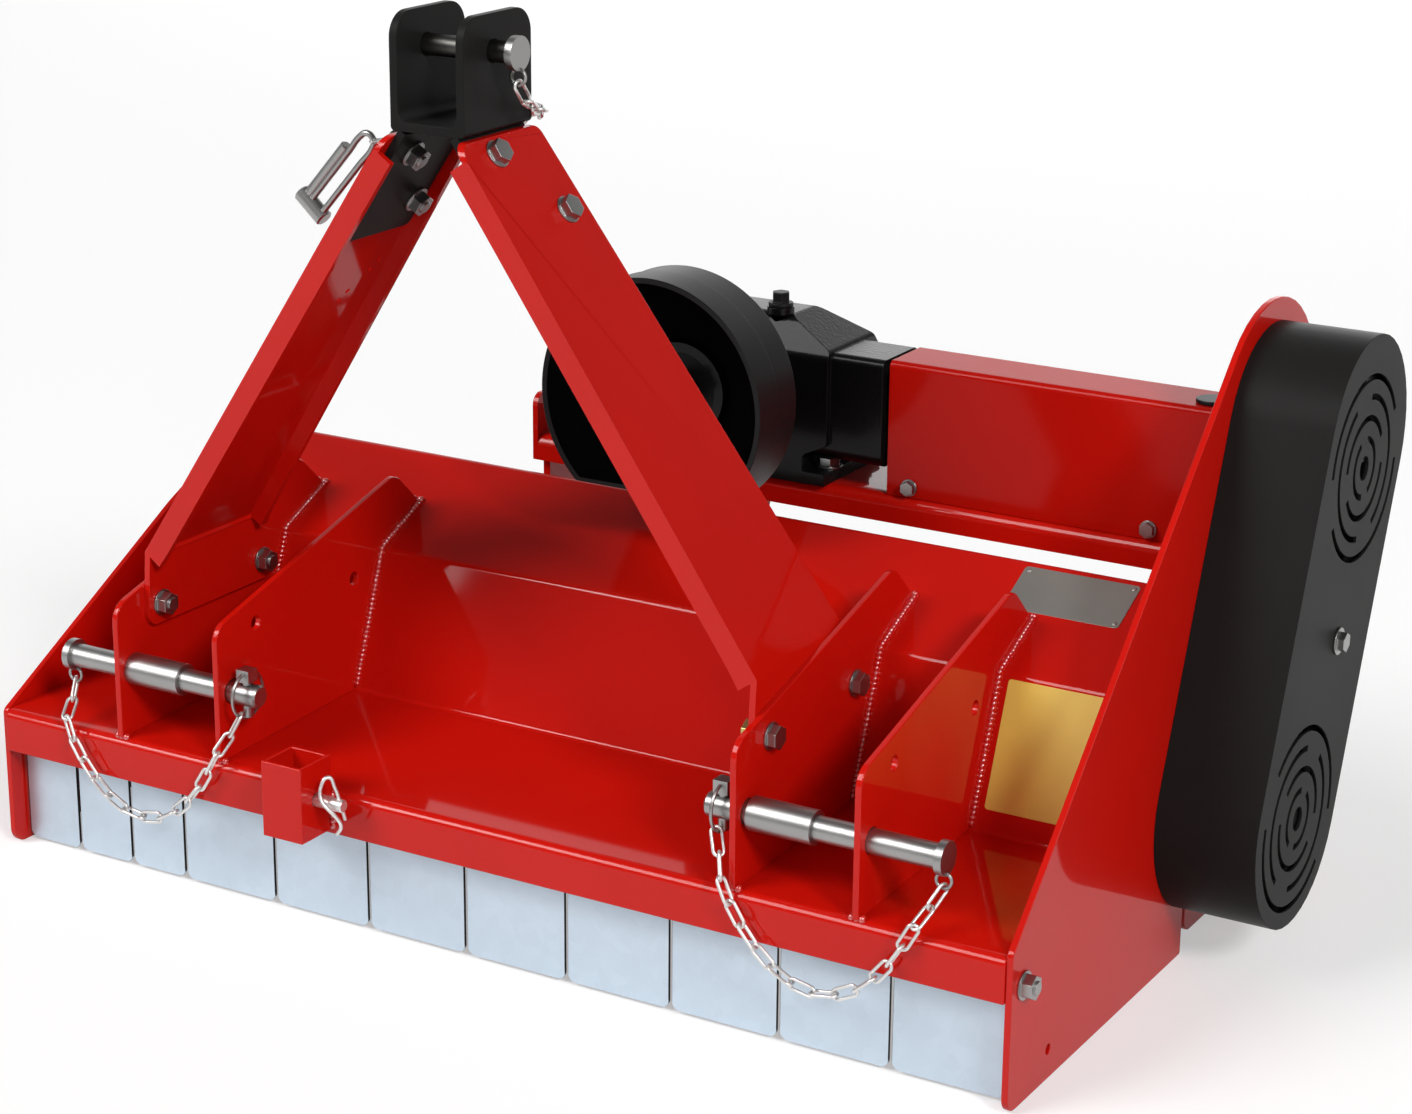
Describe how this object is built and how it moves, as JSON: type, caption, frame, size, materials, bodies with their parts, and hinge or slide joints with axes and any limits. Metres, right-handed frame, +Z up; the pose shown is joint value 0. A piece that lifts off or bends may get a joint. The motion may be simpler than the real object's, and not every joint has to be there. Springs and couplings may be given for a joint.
{
  "type": "flail mower",
  "caption": "Flail mower for a compact tractor, red folded deck with a hanging front curtain, three-point hitch, gearbox with input guard and a black side belt guard",
  "frame": {"origin": "on the ground under the middle of the machine's box", "axes": "+X along the rotor towards the belt guard, +Y to the rear, +Z up"},
  "size_m": [1.2016, 0.682, 0.836],
  "materials": {
    "red_paint": "glossy",
    "black_paint": "satin",
    "black_casting": "glossy",
    "black_plastic": "matte",
    "zinc_plate": "satin",
    "galvanised_sheet": "satin",
    "bare_steel": "satin",
    "belt_rubber": "matte"
  },
  "bodies": {
    "deck": {"deck_shell": "red_paint", "side_plate_left": "red_paint", "side_plate_right": "red_paint", "hitch_lugs": "red_paint", "stand_socket": "red_paint", "gearbox_beam": "red_paint", "hitch_arm_left": "red_paint", "hitch_arm_right": "red_paint", "shaft_cover": "red_paint", "top_clevis": "black_paint", "belt_guard": "black_paint", "gearbox_housing": "black_casting", "input_guard": "black_plastic", "plugs": "black_plastic", "stand_pin": "zinc_plate", "arm_bolts": "zinc_plate", "clevis_bolts": "zinc_plate", "top_link_pin": "zinc_plate", "top_linchpin": "zinc_plate", "top_chain": "zinc_plate", "lower_pin_left": "zinc_plate", "lower_pin_right": "zinc_plate", "lower_linchpins": "zinc_plate", "lower_chains": "zinc_plate", "flap_rod": "zinc_plate", "gearbox_fasteners": "zinc_plate", "cover_fasteners": "zinc_plate", "roller_bolts": "zinc_plate", "drive_bearings": "bare_steel", "rotor_bearings": "bare_steel", "drive_belts": "belt_rubber"},
    "rotor": {"rotor": "red_paint", "hammer_bolts": "zinc_plate", "lower_pulley": "black_casting"},
    "hammer_row_1": {"hammers_row_1": "bare_steel"},
    "hammer_row_2": {"hammers_row_2": "bare_steel"},
    "hammer_row_3": {"hammers_row_3": "bare_steel"},
    "hammer_row_4": {"hammers_row_4": "bare_steel"},
    "cross_drive": {"cross_shaft": "bare_steel", "bevel_pinion": "bare_steel", "upper_pulley": "black_casting"},
    "input_drive": {"input_shaft": "bare_steel", "crown_gear": "bare_steel"},
    "sleeve_left": {"lower_sleeve_left": "zinc_plate"},
    "sleeve_right": {"lower_sleeve_right": "zinc_plate"},
    "roller_frame": {"roller_brackets": "red_paint"},
    "roller": {"roller": "black_paint"},
    "tensioner": {"tensioner_arm": "bare_steel"},
    "idler": {"idler_pulley": "bare_steel"},
    "flap_01": {"flap_01": "galvanised_sheet"},
    "flap_02": {"flap_02": "galvanised_sheet"},
    "flap_03": {"flap_03": "galvanised_sheet"},
    "flap_04": {"flap_04": "galvanised_sheet"},
    "flap_05": {"flap_05": "galvanised_sheet"},
    "flap_06": {"flap_06": "galvanised_sheet"},
    "flap_07": {"flap_07": "galvanised_sheet"},
    "flap_08": {"flap_08": "galvanised_sheet"},
    "flap_09": {"flap_09": "galvanised_sheet"},
    "flap_10": {"flap_10": "galvanised_sheet"},
    "flap_11": {"flap_11": "galvanised_sheet"}
  },
  "joints": [
    {"name": "rotor_spin", "type": "hinge", "parent": "deck", "child": "rotor", "pos_m": [-0.03625, 0.09, 0.145], "axis": [1, 0, 0], "continuous": true},
    {"name": "cross_spin", "type": "hinge", "parent": "deck", "child": "cross_drive", "pos_m": [0.26375, 0.208, 0.458], "axis": [1, 0, 0], "continuous": true},
    {"name": "input_spin", "type": "hinge", "parent": "deck", "child": "input_drive", "pos_m": [-0.01775, 0.124, 0.458], "axis": [0, 1, 0], "continuous": true},
    {"name": "hammers_1_swing", "type": "hinge", "parent": "rotor", "child": "hammer_row_1", "pos_m": [-0.03625, 0.1395, 0.1945], "axis": [1, 0, 0], "range_deg": [0, 236]},
    {"name": "hammers_2_swing", "type": "hinge", "parent": "rotor", "child": "hammer_row_2", "pos_m": [-0.03625, 0.0405, 0.1945], "axis": [1, 0, 0], "range_deg": [-236, 0]},
    {"name": "hammers_3_swing", "type": "hinge", "parent": "rotor", "child": "hammer_row_3", "pos_m": [-0.03625, 0.0405, 0.0955], "axis": [1, 0, 0], "range_deg": [-163, 73]},
    {"name": "hammers_4_swing", "type": "hinge", "parent": "rotor", "child": "hammer_row_4", "pos_m": [-0.03625, 0.1395, 0.0955], "axis": [1, 0, 0], "range_deg": [-73, 163]},
    {"name": "flap_01_swing", "type": "hinge", "parent": "deck", "child": "flap_01", "pos_m": [-0.03625, -0.272, 0.109], "axis": [1, 0, 0], "range_deg": [-25, 70]},
    {"name": "flap_02_swing", "type": "hinge", "parent": "deck", "child": "flap_02", "pos_m": [-0.03625, -0.272, 0.109], "axis": [1, 0, 0], "range_deg": [-25, 70]},
    {"name": "flap_03_swing", "type": "hinge", "parent": "deck", "child": "flap_03", "pos_m": [-0.03625, -0.272, 0.109], "axis": [1, 0, 0], "range_deg": [-25, 70]},
    {"name": "flap_04_swing", "type": "hinge", "parent": "deck", "child": "flap_04", "pos_m": [-0.03625, -0.272, 0.109], "axis": [1, 0, 0], "range_deg": [-25, 70]},
    {"name": "flap_05_swing", "type": "hinge", "parent": "deck", "child": "flap_05", "pos_m": [-0.03625, -0.272, 0.109], "axis": [1, 0, 0], "range_deg": [-25, 70]},
    {"name": "flap_06_swing", "type": "hinge", "parent": "deck", "child": "flap_06", "pos_m": [-0.03625, -0.272, 0.109], "axis": [1, 0, 0], "range_deg": [-25, 70]},
    {"name": "flap_07_swing", "type": "hinge", "parent": "deck", "child": "flap_07", "pos_m": [-0.03625, -0.272, 0.109], "axis": [1, 0, 0], "range_deg": [-25, 70]},
    {"name": "flap_08_swing", "type": "hinge", "parent": "deck", "child": "flap_08", "pos_m": [-0.03625, -0.272, 0.109], "axis": [1, 0, 0], "range_deg": [-25, 70]},
    {"name": "flap_09_swing", "type": "hinge", "parent": "deck", "child": "flap_09", "pos_m": [-0.03625, -0.272, 0.109], "axis": [1, 0, 0], "range_deg": [-25, 70]},
    {"name": "flap_10_swing", "type": "hinge", "parent": "deck", "child": "flap_10", "pos_m": [-0.03625, -0.272, 0.109], "axis": [1, 0, 0], "range_deg": [-25, 70]},
    {"name": "flap_11_swing", "type": "hinge", "parent": "deck", "child": "flap_11", "pos_m": [-0.03625, -0.272, 0.109], "axis": [1, 0, 0], "range_deg": [-25, 70]},
    {"name": "sleeve_left_slide", "type": "slide", "parent": "deck", "child": "sleeve_left", "axis": [1, 0, 0], "range_m": [0, 0.049]},
    {"name": "sleeve_right_slide", "type": "slide", "parent": "deck", "child": "sleeve_right", "axis": [1, 0, 0], "range_m": [-0.0045, 0.0445]},
    {"name": "roller_height", "type": "slide", "parent": "deck", "child": "roller_frame", "axis": [0, 0, -1], "range_m": [0, 0.04]},
    {"name": "roller_spin", "type": "hinge", "parent": "roller_frame", "child": "roller", "pos_m": [-0.03625, 0.296, 0.045], "axis": [1, 0, 0], "continuous": true},
    {"name": "tensioner_swing", "type": "hinge", "parent": "deck", "child": "tensioner", "pos_m": [0.51375, 0.12704, 0.24325], "axis": [1, 0, 0], "range_deg": [-15, 0]},
    {"name": "idler_spin", "type": "hinge", "parent": "tensioner", "child": "idler", "pos_m": [0.55375, 0.12315, 0.36227], "axis": [1, 0, 0], "continuous": true}
  ],
  "couplings": [
    {"joint": "cross_spin", "follows": "rotor_spin", "ratio": 0.69231},
    {"joint": "input_spin", "follows": "rotor_spin", "ratio": 0.27692},
    {"joint": "idler_spin", "follows": "rotor_spin", "ratio": 3}
  ]
}
